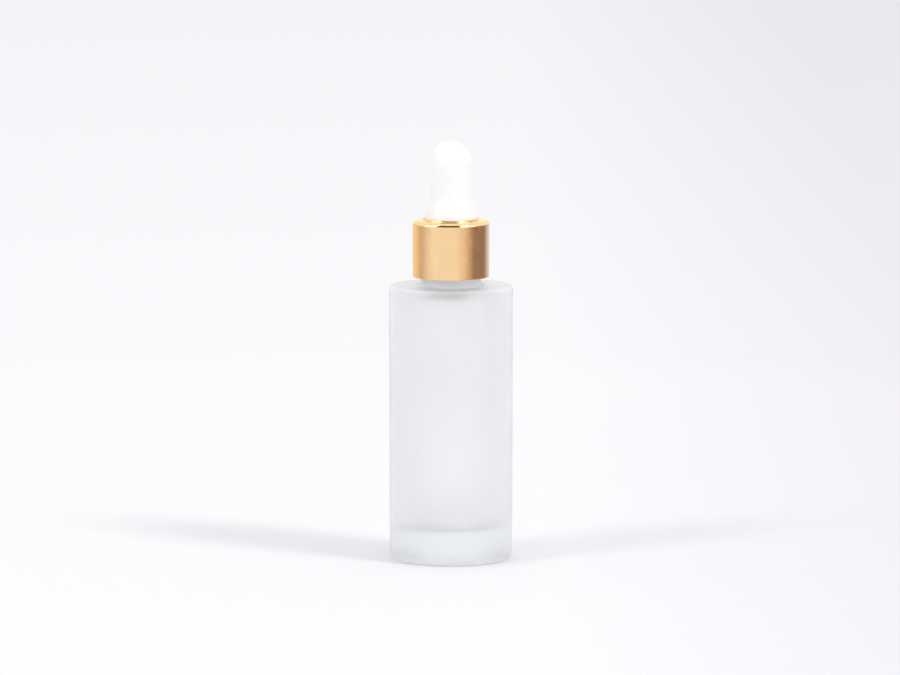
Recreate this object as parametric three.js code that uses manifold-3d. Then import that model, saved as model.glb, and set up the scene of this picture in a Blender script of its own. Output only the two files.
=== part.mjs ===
// Medicine dropper: a 30 ml frosted glass bottle closed by a screw-on dropper.
// The dropper is a white rubber bulb, a glass pipette, a threaded inner cap and a gold collar.
// Millimetres, +Z up, origin at the centre of the standing ring, on the surface it stands on.

import * as THREE from 'three';
import { mergeVertices } from 'three/addons/utils/BufferGeometryUtils.js';
import Module from 'manifold-3d';

const wasm = await Module();
wasm.setup();

// ---------------------------------------------------------------- driving dimensions

const GAP = 0.3; // clearance between two pieces that touch on the real object
const SIDES = 48; // flats round the large turned pieces
const SMALL_SIDES = 32; // flats round the bulb and the washer
const TUBE_SIDES = 24; // flats round the pipette
const THREAD_STEPS = 24; // steps in one turn of a thread

const PITCH = 3.175; // one turn of an 18-400 thread, eight to the inch
const TURNS = 1.25; // length of each thread

// bottle body
const BASE_R = 16.3; // at the heel; the wall leans out slightly to the shoulder
const TOP_R = 16.5;
const SHOULDER_Z = 73.5;
const HEEL_ROUND = 2.0;
const SHOULDER_ROUND = 1.4;
const STANDING_R = 9.5; // inner edge of the standing ring
const PUNT_R = 7.5; // flat of the shallow hollow under the base
const PUNT_Z = 0.8;
const WALL = 3.0;
const FLOOR_Z = 8.9; // top of the thick glass base
const FLOOR_ROUND = 2.0;
const ROOF_Z = 71.3; // underside of the shoulder
const ROOF_ROUND = 2.0;

// bottle neck
const RIM_Z = 85.0;
const NECK_R = 7.75; // root of the thread
const NECK_CREST_R = 8.75;
const NECK_RIDGE = 2.1; // width of the thread's ridge at its root
const NECK_RIDGE_CREST = 0.9;
const NECK_FILLET = 2.0;
const RIM_ROUND = 0.45;
const BORE_R = 5.25;
const BORE_FLARE = 1.5; // rounding where the bore meets the shoulder's underside
const NECK_THREAD_Z = 79.2; // middle of the ridge where it starts

// inner cap
const CAP_R = 9.6;
const CAP_ROOT_R = NECK_CREST_R + GAP;
const CAP_CREST_R = 8.1;
const CAP_RIDGE = 1.75;
const CAP_RIDGE_CREST = 0.7;
const CAP_EDGE = 0.4; // chamfer round the top
const CAP_SEAT_LIFT = 1.2; // the washer's seat, above the bottle's rim
const CAP_BOTTOM_Z = 76.1;
const CAP_TOP_Z = 89.8;
const WEB = 1.4; // thickness of the ring that holds the bulb
const CAP_THREAD_LIFT = 0.15; // upper flanks of the cap's thread lie closer, as on a tightened cap

// collar
const COLLAR_R = 10.2;
const COLLAR_WALL = 0.35;
const COLLAR_BOTTOM_Z = 75.7;
const COLLAR_TOP_Z = 90.9;
const COLLAR_ROUND = 1.0;
const COLLAR_LIP = 0.5; // the hole's edge is turned up round the bulb's foot

// bulb
const BULB_R = 5.6;
const BULB_WALL = 1.5;
const BULB_TOP_Z = 112.0;
const BULB_DOME = 6.0; // height of the round top, slightly taller than a half ball
const BULB_FOOT_R = 7.1; // foot that stands in the collar's hole
const FLARE_Z = 98.6; // where the shaft starts to flare
const CONE_Z = 95.6; // where the flare has become a straight cone
const CONE_R = 5.98;
const FOOT_Z = 91.6; // where the cone meets the foot
const FLANGE_R = 7.6; // flange clamped under the web
const FLANGE = 1.5;
const GROOVE_R = 6.2; // groove that the web sits in

// areas of the bulb's wall that finger and thumb press in
const GRIP_HALF_WIDTH = 2.4;
const GRIP_LOW_Z = 95.3;
const GRIP_HIGH_Z = 105.7;

// pipette
const TUBE_R = 3.5;
const TUBE_BORE_R = 2.5;
const TUBE_LIP = 0.5; // fire-polished ends
const TUBE_TOP_Z = 94.0;
const TAPER_Z = 44.0; // where the tube starts to narrow
const TIP_NECK_Z = 39.0; // where the narrow tip starts
const TIP_Z = 37.0;
const TIP_R = 1.7;
const TIP_BORE_R = 0.8;

// sealing washer
const WASHER = 1.0;
const WASHER_R = 7.7;

// ---------------------------------------------------------------- helpers

// Points [r, z] on an arc about [cr, cz], angles in degrees from the outward direction.
function arc(cr, cz, radius, from, to, steps) {
  const points = [];
  for (let i = 0; i <= steps; i += 1) {
    const angle = THREE.MathUtils.degToRad(from + ((to - from) * i) / steps);
    points.push([cr + radius * Math.cos(angle), cz + radius * Math.sin(angle)]);
  }
  return points;
}

// A profile of [r, z] points turned about Z. It runs anticlockwise with r to the right, z up.
function turned(profile, sides) {
  const points = profile.map(([r, z]) => new THREE.Vector2(Math.max(r, 0), z));
  return new THREE.LatheGeometry(points, sides).rotateX(Math.PI / 2);
}

// The same, for a ring: its profile closes on itself.
function turnedRing(profile, sides) {
  return turned([...profile, profile[0]], sides);
}

// A block from one corner to the other.
function block([x0, y0, z0], [x1, y1, z1]) {
  const geometry = new THREE.BoxGeometry(x1 - x0, y1 - y0, z1 - z0);
  return geometry.translate((x0 + x1) / 2, (y0 + y1) / 2, (z0 + z1) / 2);
}

// A closed geometry as a solid that can be joined and cut.
function solid(geometry) {
  geometry.deleteAttribute('normal');
  geometry.deleteAttribute('uv');
  const merged = mergeVertices(geometry);
  const corners = merged.index.array;
  const triVerts = [];
  for (let i = 0; i < corners.length; i += 3) {
    const [a, b, c] = corners.slice(i, i + 3);
    const isArea = a !== b && b !== c && c !== a;
    if (isArea) triVerts.push(a, b, c);
  }
  return new wasm.Manifold(new wasm.Mesh({
    numProp: 3,
    vertProperties: Float32Array.from(merged.attributes.position.array),
    triVerts: Uint32Array.from(triVerts),
  }));
}

// A solid back as a geometry.
function surface(body) {
  const { vertProperties, triVerts } = body.getMesh();
  const geometry = new THREE.BufferGeometry();
  geometry.setAttribute('position', new THREE.BufferAttribute(vertProperties, 3));
  geometry.setIndex(new THREE.BufferAttribute(triVerts, 1));
  geometry.computeVertexNormals();
  return geometry;
}

function piece(name, geometry, material) {
  const mesh = new THREE.Mesh(geometry, material);
  mesh.name = name;
  return mesh;
}

// A right-handed thread ridge: a trapezium swept up a helix. It starts inside the wall at
// rootR, stands out (or in) to crestR, and fades into the wall over the first and last steps.
function threadRidge({ rootR, crestR, rootWidth, crestWidth, startZ }) {
  const FADE_STEPS = 4;
  const steps = Math.round(THREAD_STEPS * TURNS);
  const outward = crestR > rootR;
  const positions = [];
  for (let i = 0; i <= steps; i += 1) {
    const angle = (i / THREAD_STEPS) * 2 * Math.PI;
    const z = startZ + (PITCH * i) / THREAD_STEPS;
    const rise = Math.min(1, (i + 0.5) / FADE_STEPS, (steps - i + 0.5) / FADE_STEPS);
    const topR = rootR + (crestR - rootR) * rise;
    const section = [
      [rootR, z - rootWidth / 2],
      [topR, z - crestWidth / 2],
      [topR, z + crestWidth / 2],
      [rootR, z + rootWidth / 2],
    ];
    if (!outward) section.reverse();
    section.forEach(([r, h]) => positions.push(r * Math.cos(angle), r * Math.sin(angle), h));
  }
  const index = [];
  for (let i = 0; i < steps; i += 1) {
    for (let k = 0; k < 4; k += 1) {
      const a = i * 4 + k;
      const b = i * 4 + ((k + 1) % 4);
      index.push(a, b + 4, b, a, a + 4, b + 4);
    }
  }
  const last = steps * 4;
  index.push(0, 1, 2, 0, 2, 3);
  index.push(last, last + 2, last + 1, last, last + 3, last + 2);
  const geometry = new THREE.BufferGeometry();
  geometry.setAttribute('position', new THREE.Float32BufferAttribute(positions, 3));
  geometry.setIndex(index);
  return geometry;
}

// ---------------------------------------------------------------- materials

function finish(color, roughness, metalness, extra = {}) {
  return new THREE.MeshStandardMaterial({ color, roughness, metalness, ...extra });
}

const frostedGlass = finish(0xeeeef3, 0.55, 0, { transparent: true, opacity: 0.6 });
const clearGlass = finish(0xf2f5f6, 0.05, 0, { transparent: true, opacity: 0.4 });
const whiteRubber = finish(0xf8f7f5, 0.6, 0);
const whitePlastic = finish(0xf1f1ef, 0.45, 0);
const linerPlastic = finish(0xe9ebea, 0.5, 0);
const goldAluminium = finish(0xe3b478, 0.22, 1);

// ---------------------------------------------------------------- bottle

function bottleBody() {
  const innerTopR = TOP_R - WALL;
  const innerBaseR = BASE_R - WALL;
  return turned([
    [0, PUNT_Z],
    [PUNT_R, PUNT_Z],
    [STANDING_R, 0],
    ...arc(BASE_R - HEEL_ROUND, HEEL_ROUND, HEEL_ROUND, -90, 0, 3),
    ...arc(TOP_R - SHOULDER_ROUND, SHOULDER_Z - SHOULDER_ROUND, SHOULDER_ROUND, 0, 90, 3),
    ...arc(NECK_R + NECK_FILLET, SHOULDER_Z + NECK_FILLET, NECK_FILLET, -90, -180, 4),
    ...arc(NECK_R - RIM_ROUND, RIM_Z - RIM_ROUND, RIM_ROUND, 0, 90, 2),
    ...arc(BORE_R + RIM_ROUND, RIM_Z - RIM_ROUND, RIM_ROUND, 90, 180, 2),
    ...arc(BORE_R + BORE_FLARE, ROOF_Z + BORE_FLARE, BORE_FLARE, -180, -90, 2),
    ...arc(innerTopR - ROOF_ROUND, ROOF_Z - ROOF_ROUND, ROOF_ROUND, 90, 0, 3),
    ...arc(innerBaseR - FLOOR_ROUND, FLOOR_Z + FLOOR_ROUND, FLOOR_ROUND, 0, -90, 3),
    [0, FLOOR_Z],
  ], SIDES);
}

function neckThread() {
  return threadRidge({
    rootR: NECK_R - GAP,
    crestR: NECK_CREST_R,
    rootWidth: NECK_RIDGE,
    crestWidth: NECK_RIDGE_CREST,
    startZ: NECK_THREAD_Z,
  });
}

const bottle = solid(bottleBody()).add(solid(neckThread()));

// ---------------------------------------------------------------- inner cap and collar

function capBody() {
  const seatR = WASHER_R + GAP;
  const seatZ = RIM_Z + CAP_SEAT_LIFT;
  const webZ = CAP_TOP_Z - WEB;
  return turnedRing([
    [CAP_ROOT_R, CAP_BOTTOM_Z],
    [CAP_R, CAP_BOTTOM_Z],
    [CAP_R, CAP_TOP_Z - CAP_EDGE],
    [CAP_R - CAP_EDGE, CAP_TOP_Z],
    [GROOVE_R + GAP, CAP_TOP_Z],
    [GROOVE_R + GAP, webZ],
    [seatR, webZ],
    [seatR, seatZ],
    [CAP_ROOT_R, seatZ - (CAP_ROOT_R - seatR)],
  ], SIDES);
}

function capThread() {
  return threadRidge({
    rootR: CAP_ROOT_R + GAP,
    crestR: CAP_CREST_R,
    rootWidth: CAP_RIDGE,
    crestWidth: CAP_RIDGE_CREST,
    startZ: NECK_THREAD_Z - PITCH / 2 + CAP_THREAD_LIFT,
  });
}

const innerCap = solid(capBody()).add(solid(capThread()));

function collarShell() {
  const holeR = BULB_FOOT_R + GAP;
  const innerR = COLLAR_R - COLLAR_WALL;
  const underTopZ = COLLAR_TOP_Z - COLLAR_WALL;
  const innerRound = COLLAR_ROUND - COLLAR_WALL;
  return turnedRing([
    [innerR, COLLAR_BOTTOM_Z],
    [COLLAR_R, COLLAR_BOTTOM_Z],
    ...arc(COLLAR_R - COLLAR_ROUND, COLLAR_TOP_Z - COLLAR_ROUND, COLLAR_ROUND, 0, 90, 4),
    [holeR + COLLAR_WALL, COLLAR_TOP_Z],
    [holeR + COLLAR_WALL, COLLAR_TOP_Z + COLLAR_LIP],
    [holeR, COLLAR_TOP_Z + COLLAR_LIP],
    [holeR, underTopZ],
    ...arc(innerR - innerRound, underTopZ - innerRound, innerRound, 90, 0, 2),
  ], SIDES);
}

// ---------------------------------------------------------------- bulb

const FLANGE_TOP_Z = CAP_TOP_Z - WEB - GAP;
const FLANGE_BOTTOM_Z = FLANGE_TOP_Z - FLANGE;

// A dome as [r, z] points, between its rim and its top.
function dome(radius, height, rimZ, from, to, steps) {
  return arc(0, 0, 1, from, to, steps).map(([r, z]) => [r * radius, rimZ + z * height]);
}

function bulbBody() {
  const domeZ = BULB_TOP_Z - BULB_DOME;
  const hollowR = BULB_R - BULB_WALL;
  const boreR = TUBE_R + GAP;
  return turned([
    [0, BULB_TOP_Z - BULB_WALL],
    ...dome(hollowR, BULB_DOME - BULB_WALL, domeZ, 90, 0, 5).slice(1),
    [hollowR, TUBE_TOP_Z + GAP],
    [boreR, TUBE_TOP_Z + GAP - (hollowR - boreR)],
    [boreR, FLANGE_BOTTOM_Z],
    [FLANGE_R, FLANGE_BOTTOM_Z],
    [FLANGE_R, FLANGE_TOP_Z],
    [GROOVE_R, FLANGE_TOP_Z],
    [GROOVE_R, CAP_TOP_Z + GAP],
    [BULB_FOOT_R, CAP_TOP_Z + GAP],
    [BULB_FOOT_R, FOOT_Z],
    [CONE_R, CONE_Z],
    [BULB_R, FLARE_Z],
    ...dome(BULB_R, BULB_DOME, domeZ, 0, 90, 6),
  ], SMALL_SIDES);
}

const wholeBulb = solid(bulbBody());

// The bulb is one moulding. The wall under finger and thumb is parted from it by a slot, so
// that both areas can travel inwards when the bulb is squeezed.
const windowBlock = block(
  [-FLANGE_R, -GRIP_HALF_WIDTH - GAP, GRIP_LOW_Z - GAP],
  [FLANGE_R, GRIP_HALF_WIDTH + GAP, GRIP_HIGH_Z + GAP],
);
const bulb = wholeBulb.subtract(solid(windowBlock));

function bulbGrip(side) {
  const gripBlock = block(
    [Math.min(0, side * FLANGE_R), -GRIP_HALF_WIDTH, GRIP_LOW_Z],
    [Math.max(0, side * FLANGE_R), GRIP_HALF_WIDTH, GRIP_HIGH_Z],
  );
  return wholeBulb.intersect(solid(gripBlock));
}

// ---------------------------------------------------------------- pipette and washer

function pipetteTube() {
  return turnedRing([
    [TIP_BORE_R, TIP_Z],
    [TIP_R - TUBE_LIP / 2, TIP_Z],
    [TIP_R, TIP_NECK_Z],
    [TUBE_R, TAPER_Z],
    [TUBE_R, TUBE_TOP_Z - TUBE_LIP],
    [TUBE_R - TUBE_LIP, TUBE_TOP_Z],
    [TUBE_BORE_R, TUBE_TOP_Z],
    [TUBE_BORE_R, TAPER_Z],
    [TIP_BORE_R, TIP_NECK_Z],
  ], TUBE_SIDES);
}

function washerRing() {
  const low = RIM_Z + GAP;
  return turnedRing([
    [TUBE_R + GAP, low],
    [WASHER_R, low],
    [WASHER_R, low + WASHER],
    [TUBE_R + GAP, low + WASHER],
  ], SMALL_SIDES);
}

// ---------------------------------------------------------------- assembly

const dropper = new THREE.Group();
dropper.add(
  piece('inner_cap', surface(innerCap), whitePlastic),
  piece('collar', surface(solid(collarShell())), goldAluminium),
  piece('bulb', surface(bulb), whiteRubber),
  piece('bulb_grip_left', surface(bulbGrip(-1)), whiteRubber.clone()),
  piece('bulb_grip_right', surface(bulbGrip(1)), whiteRubber.clone()),
  piece('pipette', surface(solid(pipetteTube())), clearGlass),
  piece('sealing_washer', surface(solid(washerRing())), linerPlastic),
);

const assembly = new THREE.Group();
assembly.add(piece('bottle', surface(bottle), frostedGlass), dropper);

export default assembly;
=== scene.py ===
"""Looks of the dropper bottle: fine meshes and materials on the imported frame, in metres, and
the studio that it is shown in.

Each piece is a turned solid: a closed outline of (radius, height) points swept round the
bottle's axis. Places come from the boxes of the CAD nodes.
"""

import math

import bmesh
import bpy
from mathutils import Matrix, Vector

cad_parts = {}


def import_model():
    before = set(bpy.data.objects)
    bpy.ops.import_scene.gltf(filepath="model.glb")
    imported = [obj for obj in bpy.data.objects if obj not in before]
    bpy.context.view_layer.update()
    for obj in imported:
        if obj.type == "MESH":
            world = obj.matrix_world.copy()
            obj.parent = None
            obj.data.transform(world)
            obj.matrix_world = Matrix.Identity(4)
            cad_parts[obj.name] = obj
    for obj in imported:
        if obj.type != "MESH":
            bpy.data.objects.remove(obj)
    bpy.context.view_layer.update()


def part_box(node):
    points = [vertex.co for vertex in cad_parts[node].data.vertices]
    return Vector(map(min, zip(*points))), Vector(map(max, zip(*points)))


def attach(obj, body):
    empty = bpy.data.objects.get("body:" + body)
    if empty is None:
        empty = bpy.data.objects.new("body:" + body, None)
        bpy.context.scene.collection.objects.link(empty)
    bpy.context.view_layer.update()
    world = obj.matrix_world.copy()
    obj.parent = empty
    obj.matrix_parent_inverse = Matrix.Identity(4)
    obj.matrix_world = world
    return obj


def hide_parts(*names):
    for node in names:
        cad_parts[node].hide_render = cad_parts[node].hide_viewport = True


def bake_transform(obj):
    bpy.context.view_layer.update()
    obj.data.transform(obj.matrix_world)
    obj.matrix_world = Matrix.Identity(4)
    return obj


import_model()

MM = 0.001

# ---------------------------------------------------------------- places from the frame

BOTTLE_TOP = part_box("bottle")[1]
COLLAR_LOW, COLLAR_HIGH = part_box("collar")
CAP_LOW, CAP_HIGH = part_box("inner_cap")
BULB_LOW, BULB_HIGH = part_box("bulb")
GRIP_LOW, GRIP_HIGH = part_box("bulb_grip_right")
TUBE_LOW, TUBE_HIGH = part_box("pipette")
WASHER_LOW, WASHER_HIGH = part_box("sealing_washer")

RIM_Z = BOTTLE_TOP.z
BODY_R = BOTTLE_TOP.x
COLLAR_R = COLLAR_HIGH.x
SQUEEZE_Z = (GRIP_LOW.z + GRIP_HIGH.z) / 2  # where finger and thumb press

# ---------------------------------------------------------------- sizes of the fine shapes

ROUND_STEPS = 192  # steps in a full turn
ARC_STEP = 8  # degrees between two points of a small rounding
ROW = 0.6 * MM  # rows of a wall that bends
THREAD_ROW = 0.12 * MM  # rows of a wall that carries a thread
TINY = 1e-7  # two sizes this close are the same
SHARP_ANGLE = 35  # degrees at which an edge is shown sharp

PITCH = 3.175 * MM
THREAD_TURNS = 1.25
THREAD_FADE = 0.12  # part of a turn in which a thread rises at its ends
NECK_THREAD_Z = RIM_Z - 5.8 * MM  # middle of the neck's ridge where it starts
CAP_THREAD_Z = NECK_THREAD_Z - PITCH / 2 + 0.15 * MM

SHOULDER_Z = RIM_Z - 11.5 * MM
NECK_R = 7.75 * MM
BULB_R = 5.6 * MM
BULB_FOOT_R = 7.1 * MM


# ---------------------------------------------------------------- outlines and meshes

def arc(centre_r, centre_z, radius, start, stop, height=None):
    """Points on an arc, or on an oval of that height, angles in degrees from outwards."""
    count = max(3, math.ceil(abs(stop - start) / ARC_STEP))
    points = []
    for i in range(count + 1):
        angle = math.radians(start + (stop - start) * i / count)
        rise = (height or radius) * math.sin(angle)
        points.append((centre_r + radius * math.cos(angle), centre_z + rise))
    return points


def rows(start, stop, spacing):
    """Points along a straight wall between two points, without the two."""
    count = max(1, round(abs(stop[1] - start[1]) / spacing))
    steps = [i / count for i in range(1, count)]
    return [tuple(a + (b - a) * t for a, b in zip(start, stop)) for t in steps]


def eased(start, stop, count=12):
    """Points of an S-shaped flare between two points, without its two ends."""
    points = []
    for i in range(1, count):
        t = i / count
        share = t * t * (3 - 2 * t)
        radius = start[0] + (stop[0] - start[0]) * share
        points.append((radius, start[1] + (stop[1] - start[1]) * t))
    return points


def ridge(angle, height, start_z, depth, root, crest):
    """How far a thread of that depth stands out here. root and crest are its widths."""
    best = 0.0
    for lap in range(math.ceil(THREAD_TURNS) + 1):
        turns = angle / math.tau + lap
        fade = min(1, turns / THREAD_FADE, (THREAD_TURNS - turns) / THREAD_FADE)
        if fade > 0:
            away = abs(height - start_z - PITCH * turns)
            slope = min(1, max(0, (root - 2 * away) / (root - crest)))
            best = max(best, fade * slope * slope * (3 - 2 * slope))
    return depth * best


def revolve(name, outline, material, clear=None, start=0, turn=360, reshape=None):
    """A closed outline swept round Z as one closed mesh. A part turn gets flat ends.
    clear has a number for each point of the outline, kept in the face attribute "clear".
    reshape(angle, radius, height) gives a point's own radius, for a thread."""
    full = turn == 360
    steps = round(ROUND_STEPS * turn / 360)
    mesh = bmesh.new()
    clearness = mesh.faces.layers.float.new("clear") if clear else None
    rings = []
    for i in range(steps if full else steps + 1):
        angle = math.radians(start + turn * i / steps)
        ring = []
        for radius, height in outline:
            r = reshape(angle % math.tau, radius, height) if reshape else radius
            ring.append(mesh.verts.new((r * math.cos(angle), r * math.sin(angle), height)))
        rings.append(ring)
    followers = rings[1:] + rings[:1] if full else rings[1:]
    for here, there in zip(rings, followers):
        for k in range(len(outline)):
            j = (k + 1) % len(outline)
            face = mesh.faces.new((here[k], there[k], there[j], here[j]))
            if clear:
                face[clearness] = clear[k]
    if not full:
        mesh.faces.new(rings[0])
        mesh.faces.new(rings[-1])
    bmesh.ops.remove_doubles(mesh, verts=mesh.verts, dist=TINY)
    ends = [f for f in mesh.faces if len(f.verts) > 4]
    bmesh.ops.triangulate(mesh, faces=ends)
    bmesh.ops.recalc_face_normals(mesh, faces=mesh.faces)
    data = bpy.data.meshes.new(name)
    mesh.to_mesh(data)
    mesh.free()
    data.shade_smooth()
    data.set_sharp_from_angle(angle=math.radians(SHARP_ANGLE))
    data.materials.append(material)
    piece = bpy.data.objects.new(name, data)
    bpy.context.scene.collection.objects.link(piece)
    even = piece.modifiers.new("even_shading", "WEIGHTED_NORMAL")
    even.keep_sharp = True
    return piece


# ---------------------------------------------------------------- materials

NOISE_RANGE = (0.3, 0.7)  # where nearly all values of a noise field are
NOISE_MIDDLE = (0.35, 0.65)  # where a colour changes with the field


class Look:
    """A Principled material with its own node tree, in metres of object space."""

    def __init__(self, name, colour, roughness, **inputs):
        self.material = bpy.data.materials.new(name)
        self.material.use_nodes = True
        self.tree = self.material.node_tree
        self.shader = self.tree.nodes["Principled BSDF"]
        self.output = self.tree.nodes["Material Output"]
        self.place = self.node("ShaderNodeTexCoord").outputs["Object"]
        self.set("Base Color", (*colour, 1))
        self.set("Roughness", roughness)
        for key, value in inputs.items():
            self.set(key.replace("_", " "), value)

    def set(self, key, value):
        self.shader.inputs[key].default_value = value

    def link(self, field, key):
        self.tree.links.new(field, self.shader.inputs[key])

    def node(self, kind, **settings):
        made = self.tree.nodes.new(kind)
        for key, value in settings.items():
            setattr(made, key, value)
        return made

    def noise(self, size, detail=3.0, stretch=(1, 1, 1)):
        """Noise with features of about that size, in metres."""
        mapping = self.node("ShaderNodeMapping")
        mapping.inputs["Scale"].default_value = stretch
        self.tree.links.new(self.place, mapping.inputs["Vector"])
        cloud = self.node("ShaderNodeTexNoise")
        cloud.inputs["Scale"].default_value = 1 / size
        cloud.inputs["Detail"].default_value = detail
        self.tree.links.new(mapping.outputs["Vector"], cloud.inputs["Vector"])
        return cloud.outputs["Fac"]

    def attribute(self, name):
        return self.node("ShaderNodeAttribute", attribute_name=name).outputs["Fac"]

    def along(self, axis):
        """The place along one axis, in metres."""
        parts = self.node("ShaderNodeSeparateXYZ")
        self.tree.links.new(self.place, parts.inputs[0])
        return parts.outputs[axis]

    def spread(self, field, first, last, low=0.0, high=1.0):
        """The field, with its range from first to last made a range from low to high."""
        ranged = self.node("ShaderNodeMapRange")
        ranged.inputs["From Min"].default_value = first
        ranged.inputs["From Max"].default_value = last
        ranged.inputs["To Min"].default_value = low
        ranged.inputs["To Max"].default_value = high
        self.tree.links.new(field, ranged.inputs["Value"])
        return ranged.outputs["Result"]

    def remap(self, field, low, high):
        """The noise field's usual range, stretched from low to high."""
        return self.spread(field, *NOISE_RANGE, low, high)

    def mix(self, share, first, second):
        """The first field or number where share is 0, the second where it is 1."""
        blend = self.node("ShaderNodeMix")
        self.tree.links.new(share, blend.inputs[0])
        for slot, value in ((blend.inputs[2], first), (blend.inputs[3], second)):
            if isinstance(value, float):
                slot.default_value = value
            else:
                self.tree.links.new(value, slot)
        return blend.outputs[0]

    def vary_roughness(self, field, low, high):
        """Roughness from low to high with the field."""
        self.link(self.remap(field, low, high), "Roughness")

    def vary_colour(self, field, first, second):
        """Colour from first to second over the middle of the field's range."""
        ramp = self.node("ShaderNodeValToRGB")
        for stop, place, colour in zip(ramp.color_ramp.elements, NOISE_MIDDLE, (first, second)):
            stop.position = place
            stop.color = (*colour, 1)
        self.tree.links.new(field, ramp.inputs["Fac"])
        self.link(ramp.outputs["Color"], "Base Color")

    def bump(self, field, depth, strength=1.0):
        """A relief of that depth in metres. Calls add up."""
        relief = self.node("ShaderNodeBump")
        relief.inputs["Distance"].default_value = depth
        relief.inputs["Strength"].default_value = strength
        self.tree.links.new(field, relief.inputs["Height"])
        normal = self.shader.inputs["Normal"]
        if normal.is_linked:
            self.tree.links.new(normal.links[0].from_socket, relief.inputs["Normal"])
        self.tree.links.new(relief.outputs["Normal"], normal)

    def absorb(self, colour, density):
        """Tint that deepens with the thickness of the glass."""
        volume = self.node("ShaderNodeVolumeAbsorption")
        volume.inputs["Color"].default_value = (*colour, 1)
        volume.inputs["Density"].default_value = density
        self.tree.links.new(volume.outputs["Volume"], self.output.inputs["Volume"])

    def pass_lamps(self, shadow):
        """Lets lamps shine through, all but that share of their light."""
        clear = self.node("ShaderNodeMath", operation="MULTIPLY")
        clear.inputs[1].default_value = 1 - shadow
        path = self.node("ShaderNodeLightPath")
        self.tree.links.new(path.outputs["Is Shadow Ray"], clear.inputs[0])
        blend = self.node("ShaderNodeMixShader")
        self.tree.links.new(clear.outputs[0], blend.inputs["Fac"])
        self.tree.links.new(self.shader.outputs[0], blend.inputs[1])
        self.tree.links.new(self.node("ShaderNodeBsdfTransparent").outputs[0], blend.inputs[2])
        self.tree.links.new(blend.outputs[0], self.output.inputs["Surface"])


GLASS_TINT = (0.72, 0.93, 0.96)
ETCH_CLEARNESS = 0.68  # share of the light that the etched skin lets through
ETCH_SHINE = 0.3  # strength of its satin reflections
NECK_CLEARNESS = 0.8  # the neck is nearly clear: 0 is etched and 1 is clear
GLASS_SHADOW = 0.75  # share of a lamp's light that the bottle keeps from what is behind it


def etched_glass():
    """Acid-etched outside, which scatters what is behind it. Inside, the glass is as it was
    blown: clear, with long soft waves. The attribute "clear" goes from etched to clear."""
    look = Look("etched_glass", (0.96, 0.96, 0.975), 0.6, IOR=1.5, Coat_Roughness=0.25)
    clear = look.attribute("clear")
    etch = look.remap(look.noise(9 * MM), 0.68, 0.75)
    polish = look.remap(look.noise(12 * MM), 0.03, 0.08)
    look.link(look.mix(clear, etch, polish), "Roughness")
    veil = look.remap(look.noise(3 * MM), ETCH_CLEARNESS - 0.02, ETCH_CLEARNESS + 0.02)
    look.link(look.mix(clear, veil, 1.0), "Transmission Weight")
    look.link(look.mix(clear, ETCH_SHINE, 0.0), "Coat Weight")
    grain = look.noise(0.25 * MM, detail=4)
    look.bump(look.mix(clear, grain, look.noise(8 * MM, detail=1)), 0.012 * MM, 0.5)
    look.absorb(GLASS_TINT, 9)
    look.pass_lamps(GLASS_SHADOW)
    return look.material


def pipette_glass():
    """Drawn tube: clear, with fine lines along its length."""
    look = Look("pipette_glass", (0.985, 0.99, 0.99), 0.02, IOR=1.5, Transmission_Weight=1.0)
    look.vary_roughness(look.noise(5 * MM), 0.01, 0.05)
    look.bump(look.noise(1.2 * MM, detail=1, stretch=(1, 1, 0.05)), 0.01 * MM, 0.3)
    look.absorb(GLASS_TINT, 12)
    return look.material


def gold_aluminium():
    """Bright anodised shell: a satin film over a polished, faintly rippled sheet."""
    look = Look("gold_aluminium", (0.94, 0.665, 0.365), 0.14, Metallic=1.0)
    look.vary_colour(look.noise(6 * MM), (0.93, 0.655, 0.355), (0.95, 0.675, 0.375))
    look.vary_roughness(look.noise(1.5 * MM), 0.11, 0.17)
    look.bump(look.noise(2.5 * MM, detail=1), 0.008 * MM, 0.5)
    look.bump(look.noise(0.2 * MM, detail=2), 0.001 * MM, 0.5)
    return look.material


def white_rubber():
    """Moulded rubber: matte, with a fine grain and a faint warm cast in places."""
    look = Look("white_rubber", (0.85, 0.848, 0.83), 0.55,
                Sheen_Weight=0.8, Sheen_Roughness=0.5)
    look.vary_colour(look.noise(7 * MM), (0.84, 0.838, 0.82), (0.86, 0.858, 0.845))
    look.vary_roughness(look.noise(2 * MM), 0.5, 0.6)
    look.bump(look.noise(0.3 * MM, detail=3), 0.006 * MM, 0.5)
    return look.material


def white_plastic():
    """Moulded polypropylene: slightly waxy."""
    look = Look("white_plastic", (0.86, 0.86, 0.85), 0.4)
    look.vary_colour(look.noise(5 * MM), (0.85, 0.85, 0.835), (0.875, 0.875, 0.865))
    look.vary_roughness(look.noise(1.5 * MM), 0.34, 0.45)
    look.bump(look.noise(0.8 * MM), 0.008 * MM, 0.5)
    return look.material


def washer_foam():
    """Pressed polyethylene sheet, with a fine closed-cell grain."""
    look = Look("washer_foam", (0.8, 0.82, 0.82), 0.5)
    look.vary_colour(look.noise(0.6 * MM), (0.76, 0.78, 0.78), (0.84, 0.86, 0.86))
    look.vary_roughness(look.noise(0.8 * MM), 0.45, 0.6)
    look.bump(look.noise(0.35 * MM), 0.03 * MM, 0.6)
    return look.material


# ---------------------------------------------------------------- bottle

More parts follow.
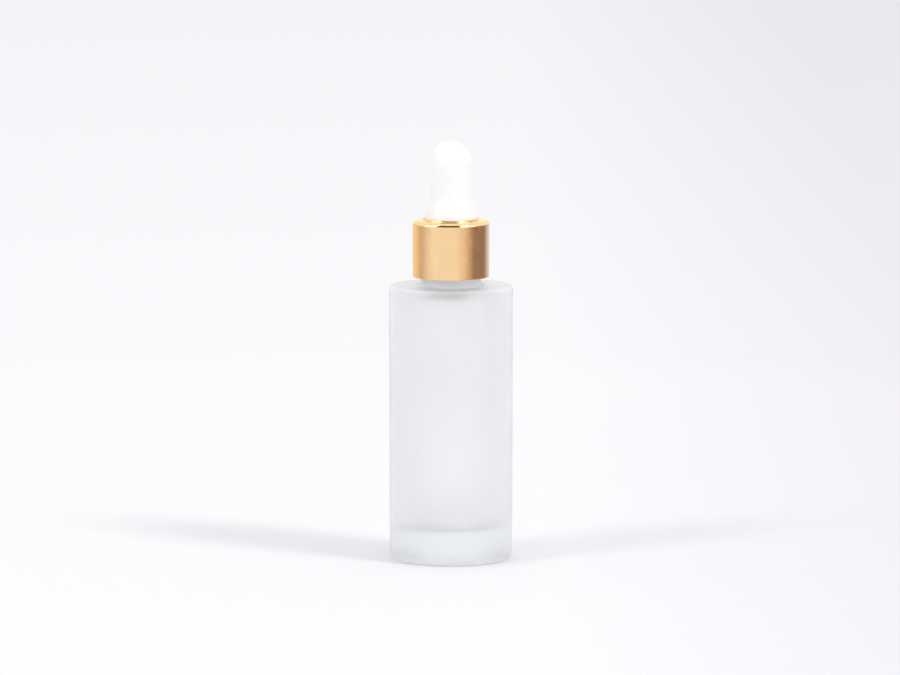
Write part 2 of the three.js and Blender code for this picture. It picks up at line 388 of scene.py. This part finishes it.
def bottle():
    """Straight body, flat shoulder, threaded neck, thick base. Etched on the outside."""
    heel_r = BODY_R - 0.2 * MM  # the wall leans out slightly from heel to shoulder
    heel, corner, fillet, lip = 2.0 * MM, 1.4 * MM, 2.0 * MM, 0.45 * MM
    punt, standing_r = (7.5 * MM, 0.8 * MM), 9.5 * MM
    wall, bore_r = 3.0 * MM, 5.25 * MM
    depth, root, crest = 1.0 * MM, 2.0 * MM, 0.8 * MM  # the thread's ridge
    floor_z, floor_round = 8.9 * MM, 2.0 * MM
    roof_z, roof_round, flare = SHOULDER_Z - 2.2 * MM, 2.0 * MM, 1.5 * MM
    inner_top_r, inner_base_r = BODY_R - wall, heel_r - wall
    body = [
        (0, punt[1]),
        punt,
        *eased(punt, (standing_r, 0)),
        (standing_r, 0),
        *arc(heel_r - heel, heel, heel, -90, 0),
        *arc(BODY_R - corner, SHOULDER_Z - corner, corner, 0, 90),
        *arc(NECK_R + fillet, SHOULDER_Z + fillet, fillet, -90, -180),
    ]
    neck = [
        *rows((NECK_R, SHOULDER_Z + fillet), (NECK_R, RIM_Z - lip), THREAD_ROW),
        *arc(NECK_R - lip, RIM_Z - lip, lip, 0, 90),
    ]
    inside = [
        *arc(bore_r + lip, RIM_Z - lip, lip, 90, 180),
        *arc(bore_r + flare, roof_z + flare, flare, -180, -90),
        *arc(inner_top_r - roof_round, roof_z - roof_round, roof_round, 90, 0),
        *arc(inner_base_r - floor_round, floor_z + floor_round, floor_round, 0, -90),
        (0, floor_z),
    ]

    def threaded(angle, radius, height):
        if abs(radius - NECK_R) > TINY:
            return radius
        return radius + ridge(angle, height, NECK_THREAD_Z, depth, root, crest)

    clear = [0.0] * len(body) + [NECK_CLEARNESS] * len(neck) + [1.0] * len(inside)
    piece = revolve("bottle_glass", body + neck + inside, etched_glass(),
                    clear=clear, reshape=threaded)
    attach(piece, "bottle")
    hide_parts("bottle")


# ---------------------------------------------------------------- pipette and washer

def pipette():
    """A straight tube with fire-polished ends that narrows to a drip tip."""
    tube_r, bore_r = TUBE_HIGH.x, 2.5 * MM
    tip_r, tip_bore_r = 1.7 * MM, 0.8 * MM
    neck_z, taper_z = TUBE_LOW.z + 2 * MM, TUBE_LOW.z + 7.5 * MM
    top, tip = (tube_r - bore_r) / 2, (tip_r - tip_bore_r) / 2
    outline = [
        *arc(tip_r - tip, TUBE_LOW.z + tip, tip, -180, 0),
        (tip_r, neck_z),
        *eased((tip_r, neck_z), (tube_r, taper_z)),
        (tube_r, taper_z),
        *arc(tube_r - top, TUBE_HIGH.z - top, top, 0, 180),
        (bore_r, taper_z),
        *eased((bore_r, taper_z), (tip_bore_r, neck_z)),
        (tip_bore_r, neck_z),
    ]
    piece = revolve("pipette_tube", outline, pipette_glass())
    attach(piece, "tube")
    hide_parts("pipette")


def washer():
    """A ring punched from sheet, with edges slightly rounded by the punch."""
    hole_r, edge = 3.8 * MM, 0.15 * MM
    low, high, outer_r = WASHER_LOW.z + edge, WASHER_HIGH.z - edge, WASHER_HIGH.x - edge
    outline = [
        *arc(outer_r, low, edge, -90, 0),
        *arc(outer_r, high, edge, 0, 90),
        *arc(hole_r + edge, high, edge, 90, 180),
        *arc(hole_r + edge, low, edge, 180, 270),
    ]
    piece = revolve("washer_ring", outline, washer_foam())
    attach(piece, "washer")
    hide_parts("sealing_washer")


# ---------------------------------------------------------------- inner cap and collar

def inner_cap():
    """Threaded skirt, seat for the washer and bulb flange, and the web that grips the bulb."""
    outer_r, root_r, seat_r, hole_r = CAP_HIGH.x, 9.05 * MM, 8.0 * MM, 6.5 * MM
    seat_z, web_z = RIM_Z + 1.2 * MM, CAP_HIGH.z - 1.4 * MM
    slope, lip, edge = root_r - seat_r, 0.2 * MM, 0.4 * MM
    depth, root, crest = 0.95 * MM, 1.7 * MM, 0.6 * MM  # the thread's ridge
    outline = [
        *arc(root_r + lip, CAP_LOW.z + lip, lip, -180, -90),
        *arc(outer_r - lip, CAP_LOW.z + lip, lip, -90, 0),
        *arc(outer_r - edge, CAP_HIGH.z - edge, edge, 0, 90),
        *arc(hole_r + lip, CAP_HIGH.z - lip, lip, 90, 180),
        *arc(hole_r + lip, web_z + lip, lip, 180, 270),
        (seat_r, web_z),
        (seat_r, seat_z),
        (root_r, seat_z - slope),
        *rows((root_r, seat_z - slope), (root_r, CAP_LOW.z + lip), THREAD_ROW),
    ]

    def threaded(angle, radius, height):
        if abs(radius - root_r) > TINY:
            return radius
        return radius - ridge(angle, height, CAP_THREAD_Z, depth, root, crest)

    piece = revolve("inner_cap_moulding", outline, white_plastic(), reshape=threaded)
    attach(piece, "closure")
    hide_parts("inner_cap")


def collar():
    """A drawn shell: rounded top edge, hole turned up round the bulb, hemmed skirt."""
    wall, corner, hem = 0.35 * MM, 1.0 * MM, 0.17 * MM
    lip, lip_fillet = 0.5 * MM, 0.15 * MM
    hole_r = BULB_FOOT_R + 0.1 * MM
    inner_r = COLLAR_R - wall
    top_z = COLLAR_HIGH.z - lip
    under_z = top_z - wall
    outline = [
        *arc(inner_r + hem, COLLAR_LOW.z + hem, hem, -180, -90),
        *arc(COLLAR_R - hem, COLLAR_LOW.z + hem, hem, -90, 0),
        *arc(COLLAR_R - corner, top_z - corner, corner, 0, 90),
        *arc(hole_r + wall + lip_fillet, top_z + lip_fillet, lip_fillet, 270, 180),
        *arc(hole_r + wall - hem, COLLAR_HIGH.z - hem, hem, 0, 180),
        *arc(hole_r + hem, under_z + hem, hem, 180, 270),
        *arc(COLLAR_R - corner, top_z - corner, corner - wall, 90, 0),
    ]
    piece = revolve("collar_shell", outline, gold_aluminium())
    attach(piece, "closure")
    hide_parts("collar")


# ---------------------------------------------------------------- bulb

def bulb_outlines():
    """The wall's outlines below and above the height where it is squeezed."""
    wall, flange, gap = 1.5 * MM, 1.5 * MM, 0.3 * MM
    hollow_r, bore_r = BULB_R - wall, TUBE_HIGH.x + gap
    flange_r, groove_r, edge = BULB_HIGH.x, 6.2 * MM, 0.25 * MM
    flange_top, foot_low = BULB_LOW.z + flange, CAP_HIGH.z + gap
    foot = (BULB_FOOT_R, COLLAR_HIGH.z + 0.1 * MM)
    bend_r, bend = 12.4 * MM, 14  # the shaft bends out into a cone, by that many degrees
    bend_z = COLLAR_HIGH.z + 7.2 * MM
    cone = arc(BULB_R + bend_r, bend_z, bend_r, 180 + bend, 180)
    shaft = (BULB_R, bend_z)
    dome, hollow_dome = 6.0 * MM, 4.5 * MM
    dome_z = BULB_HIGH.z - dome
    hollow_z = TUBE_HIGH.z + gap
    low = [
        (bore_r, BULB_LOW.z),
        *arc(flange_r - edge, BULB_LOW.z + edge, edge, -90, 0),
        *arc(flange_r - edge, flange_top - edge, edge, 0, 90),
        (groove_r, flange_top),
        (groove_r, foot_low),
        *arc(BULB_FOOT_R - edge, foot_low + edge, edge, -90, 0),
        foot,
        *rows(foot, cone[0], ROW),
        *cone,
        *rows(shaft, (BULB_R, SQUEEZE_Z), ROW),
        (BULB_R, SQUEEZE_Z),
        (hollow_r, SQUEEZE_Z),
        *rows((hollow_r, SQUEEZE_Z), (hollow_r, hollow_z), ROW),
        (hollow_r, hollow_z),
        (bore_r, hollow_z - (hollow_r - bore_r)),
    ]
    high = [
        (BULB_R, SQUEEZE_Z),
        *rows((BULB_R, SQUEEZE_Z), (BULB_R, dome_z), ROW),
        *arc(0, dome_z, BULB_R, 0, 90, height=dome),
        *arc(0, dome_z, hollow_r, 90, 0, height=hollow_dome),
        *rows((hollow_r, dome_z), (hollow_r, SQUEEZE_Z), ROW),
        (hollow_r, SQUEEZE_Z),
    ]
    return low, high


def bulb():
    """One rubber moulding, built as four quarters: lower and upper halves on the right and the
    left, which meet at the middle and at the height where it is squeezed."""
    low, high = bulb_outlines()
    rubber = white_rubber()
    for side, sign, start in (("right", 1, -90), ("left", -1, 90)):
        for half, outline, rise in (("lower", low, 1), ("upper", high, -1)):
            piece = revolve(f"bulb_{half}_{side}", outline, rubber, start=start, turn=180)
            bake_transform(piece)
            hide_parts("bulb", f"bulb_grip_{side}")


# ---------------------------------------------------------------- studio

LIGHT_BOUNCES = 24  # light goes back and forth many times inside the etched skin
AIM = Vector((-0.25 * MM, 0, 59.4 * MM))  # the middle of the picture
CAMERA_ELEVATION = 7
CAMERA_DISTANCE = 2.5
FIELD_WIDTH = 239.4 * MM  # width of the picture at the bottle

KEY_ELEVATION, KEY_DISTANCE, KEY_SIZE = 42, 6, 1.3
KEY_COLOUR = (1.0, 0.985, 0.95)
KEY_LIGHTS = {"key_right": (52, 100), "key_left": (-52, 58)}  # azimuth and power

FILL = (0.945, 0.935, 0.97)  # what lights matte surfaces from all round
MIRRORED_ROOM = (1.14, 1.08, 0.92)  # what shiny surfaces mirror
GLASS_ROOM = (1.2, 1.18, 1.21)  # what shows through the glass
GLASS_ASIDE = (0.4, 0.4, 0.45)  # the same, straight to the left and right
ASIDE_FROM = 0.4  # the part along X of the direction where the glass room starts to dim
BACKDROP = (0.9, 0.89, 0.94)  # what the camera sees beyond the floor

FLOOR_R = 8
# the second colour is the paper darkened by painted shade, used towards the right
PAPER, SHADED_PAPER = (0.8, 0.8, 0.81), (0.72, 0.715, 0.735)
PAPER_SHADE_SPAN = (0.027, 0.153)  # painted shade darkens the paper from here to here along X

SCREEN_R = 0.45  # round screens stand about the object, and only mirrors show them
SCREEN_STEP = 5  # degrees
WALL_TOP, WINDOW_TOP, ROOM_TOP = 0.08, 0.25, 0.6
WINDOWS = {"window_left": (-85, -50), "window_right": (30, 75)}
WINDOW_STRENGTH = 2.5
UNLIT_ROOM = (-45, 28)

# A made-up room for the collar to mirror: white in front, a warm wall on the left and behind,
# and wooden furniture on the right with a blue corner behind it.
WHITE_SIDE = (1.0, 0.98, 1.0)
WARM_WALL = (0.95, 0.82, 0.6)
GREY_POST = (0.65, 0.52, 0.48)
LIGHT_WOOD = (0.77, 0.62, 0.5)
DARK_WOOD = (0.3, 0.21, 0.17)
BLUE_CORNER = (0.7, 0.75, 1.0)
WALL_TINTS = (  # by azimuth, which is 0 on the camera's side and 90 on the right
    (-130, WARM_WALL),
    (-100, GREY_POST),
    (-50, WHITE_SIDE),
    (15, WHITE_SIDE),
    (45, LIGHT_WOOD),
    (70, DARK_WOOD),
    (115, DARK_WOOD),
    (145, BLUE_CORNER),
)
BEHIND = WARM_WALL  # where the turn starts and ends


def direction(azimuth, elevation):
    """A unit vector from the object. Azimuth 0 is the camera's side, 90 the right side."""
    a, e = math.radians(azimuth), math.radians(elevation)
    return Vector((math.sin(a) * math.cos(e), -math.cos(a) * math.cos(e), math.sin(e)))


def place_facing(thing, azimuth, elevation, distance):
    """Puts it at that distance from the aim, looking at the aim."""
    outwards = direction(azimuth, elevation)
    thing.location = AIM + outwards * distance
    thing.rotation_mode = "QUATERNION"
    thing.rotation_quaternion = (-outwards).to_track_quat("-Z", "Y")
    bpy.context.scene.collection.objects.link(thing)


def camera():
    data = bpy.data.cameras.new("camera")
    data.sensor_width = 36
    data.lens = data.sensor_width * CAMERA_DISTANCE / FIELD_WIDTH
    data.clip_start, data.clip_end = 0.1, 30
    thing = bpy.data.objects.new("camera", data)
    place_facing(thing, 0, CAMERA_ELEVATION, CAMERA_DISTANCE)
    bpy.context.scene.camera = thing


def softbox(name, azimuth, power):
    data = bpy.data.lights.new(name, "AREA")
    data.size = KEY_SIZE
    data.energy = power
    data.color = KEY_COLOUR
    thing = bpy.data.objects.new(name, data)
    place_facing(thing, azimuth, KEY_ELEVATION, KEY_DISTANCE)
    thing.visible_camera = False


def stage_mesh(name, mesh, look):
    """Adds the mesh to the stage in that look."""
    data = bpy.data.meshes.new(name)
    mesh.to_mesh(data)
    mesh.free()
    data.materials.append(look.material)
    thing = bpy.data.objects.new(name, data)
    bpy.context.scene.collection.objects.link(thing)
    return thing


def floor():
    """A pale paper sweep with a fine grain, and painted shade that darkens it towards the
    right.
    """
    look = Look("floor_paper", PAPER, 0.9)
    look.set("Specular IOR Level", 0.1)
    # painted shade: the paper's colour darkens towards the right
    painted_shade = look.spread(look.along("X"), *PAPER_SHADE_SPAN, *NOISE_MIDDLE)
    look.vary_colour(painted_shade, PAPER, SHADED_PAPER)
    look.bump(look.noise(0.4 * MM), 0.01 * MM, 0.5)
    mesh = bmesh.new()
    bmesh.ops.create_circle(mesh, cap_ends=True, radius=FLOOR_R, segments=96)
    stage_mesh("floor", mesh, look)


def screen(name, look, first, last, low, high):
    """A round screen from one azimuth to another. Only mirror reflections show it."""
    steps = round((last - first) / SCREEN_STEP)
    mesh = bmesh.new()
    columns = []
    for i in range(steps + 1):
        foot = direction(first + (last - first) * i / steps, 0) * SCREEN_R
        columns.append([mesh.verts.new((foot.x, foot.y, z)) for z in (low, high)])
    for here, there in zip(columns, columns[1:]):
        mesh.faces.new((here[0], there[0], there[1], here[1]))
    thing = stage_mesh(name, mesh, look)
    thing.visible_camera = False
    thing.visible_diffuse = False
    thing.visible_transmission = False
    thing.visible_shadow = False


def glow(name, strength):
    """A look that only shines, white until it is given a colour."""
    look = Look(name, (0, 0, 0), 1.0, Emission_Strength=strength)
    look.set("Specular IOR Level", 0)
    look.set("Emission Color", (1, 1, 1, 1))
    return look


def walls():
    """Low walls with the room's tints, for the side of the collar."""
    look = glow("wall_tints", 1)
    forwards = look.node("ShaderNodeMath", operation="MULTIPLY")
    forwards.inputs[1].default_value = -1
    look.tree.links.new(look.along("Y"), forwards.inputs[0])
    azimuth = look.node("ShaderNodeMath", operation="ARCTAN2")
    look.tree.links.new(look.along("X"), azimuth.inputs[0])
    look.tree.links.new(forwards.outputs[0], azimuth.inputs[1])
    ramp = look.node("ShaderNodeValToRGB")
    stops = ramp.color_ramp.elements
    for end in (stops[0], stops[-1]):
        end.color = (*BEHIND, 1)
    for angle, tint in WALL_TINTS:
        stops.new(angle / 360 + 0.5).color = (*tint, 1)
    turn = look.spread(azimuth.outputs[0], -math.pi, math.pi)
    look.tree.links.new(turn, ramp.inputs["Fac"])
    look.link(ramp.outputs["Color"], "Emission Color")
    screen("walls", look, -180, 180, 0.0, WALL_TOP)


def room_behind_camera():
    """Unlit, for the dark line along the collar's rounded top edge."""
    look = Look("unlit_room", (0.03, 0.03, 0.035), 0.8)
    screen("unlit_room", look, *UNLIT_ROOM, WALL_TOP, ROOM_TOP)


def windows():
    """Bright, on both sides of the camera, for the highlights beside that line."""
    look = glow("window", WINDOW_STRENGTH)
    for name, (first, last) in WINDOWS.items():
        screen(name, look, first, last, WALL_TOP, WINDOW_TOP)


def world():
    """Nearly white all round, with its own tone for matte surfaces, mirrors and glass. Glass
    sees it dim on the left and right, which shades the edges of the body."""
    made = bpy.data.worlds.new("studio")
    bpy.context.scene.world = made
    made.use_nodes = True
    nodes, links = made.node_tree.nodes, made.node_tree.links

    def choose(share, first, second):
        """The first colour where share is 0, the second where it is 1."""
        mix = nodes.new("ShaderNodeMix")
        mix.data_type = "RGBA"
        links.new(share, mix.inputs["Factor"])
        for slot, colour in ((mix.inputs[6], first), (mix.inputs[7], second)):
            if isinstance(colour, tuple):
                slot.default_value = (*colour, 1)
            else:
                links.new(colour, slot)
        return mix.outputs[2]

    towards = nodes.new("ShaderNodeSeparateXYZ")
    links.new(nodes.new("ShaderNodeTexCoord").outputs["Generated"], towards.inputs[0])
    sideways = nodes.new("ShaderNodeMath")
    sideways.operation = "ABSOLUTE"
    links.new(towards.outputs["X"], sideways.inputs[0])
    aside = nodes.new("ShaderNodeMapRange")
    aside.inputs["From Min"].default_value = ASIDE_FROM
    aside.inputs["From Max"].default_value = 1
    links.new(sideways.outputs[0], aside.inputs["Value"])
    path = nodes.new("ShaderNodeLightPath").outputs
    mirrored = choose(path["Is Glossy Ray"], FILL, MIRRORED_ROOM)
    glass_room = choose(aside.outputs["Result"], GLASS_ROOM, GLASS_ASIDE)
    through = choose(path["Is Transmission Ray"], mirrored, glass_room)
    seen = choose(path["Is Camera Ray"], through, BACKDROP)
    links.new(seen, nodes["Background"].inputs["Color"])


def studio():
    world()
    walls()
    room_behind_camera()
    windows()
    floor()
    camera()
    for name, (azimuth, power) in KEY_LIGHTS.items():
        softbox(name, azimuth, power)
    scene = bpy.context.scene
    scene.view_settings.view_transform = "Standard"
    for kind in ("max", "diffuse", "glossy", "transmission"):
        setattr(scene.cycles, f"{kind}_bounces", LIGHT_BOUNCES)


# ---------------------------------------------------------------- build

studio()
bottle()
pipette()
washer()
inner_cap()
collar()
bulb()
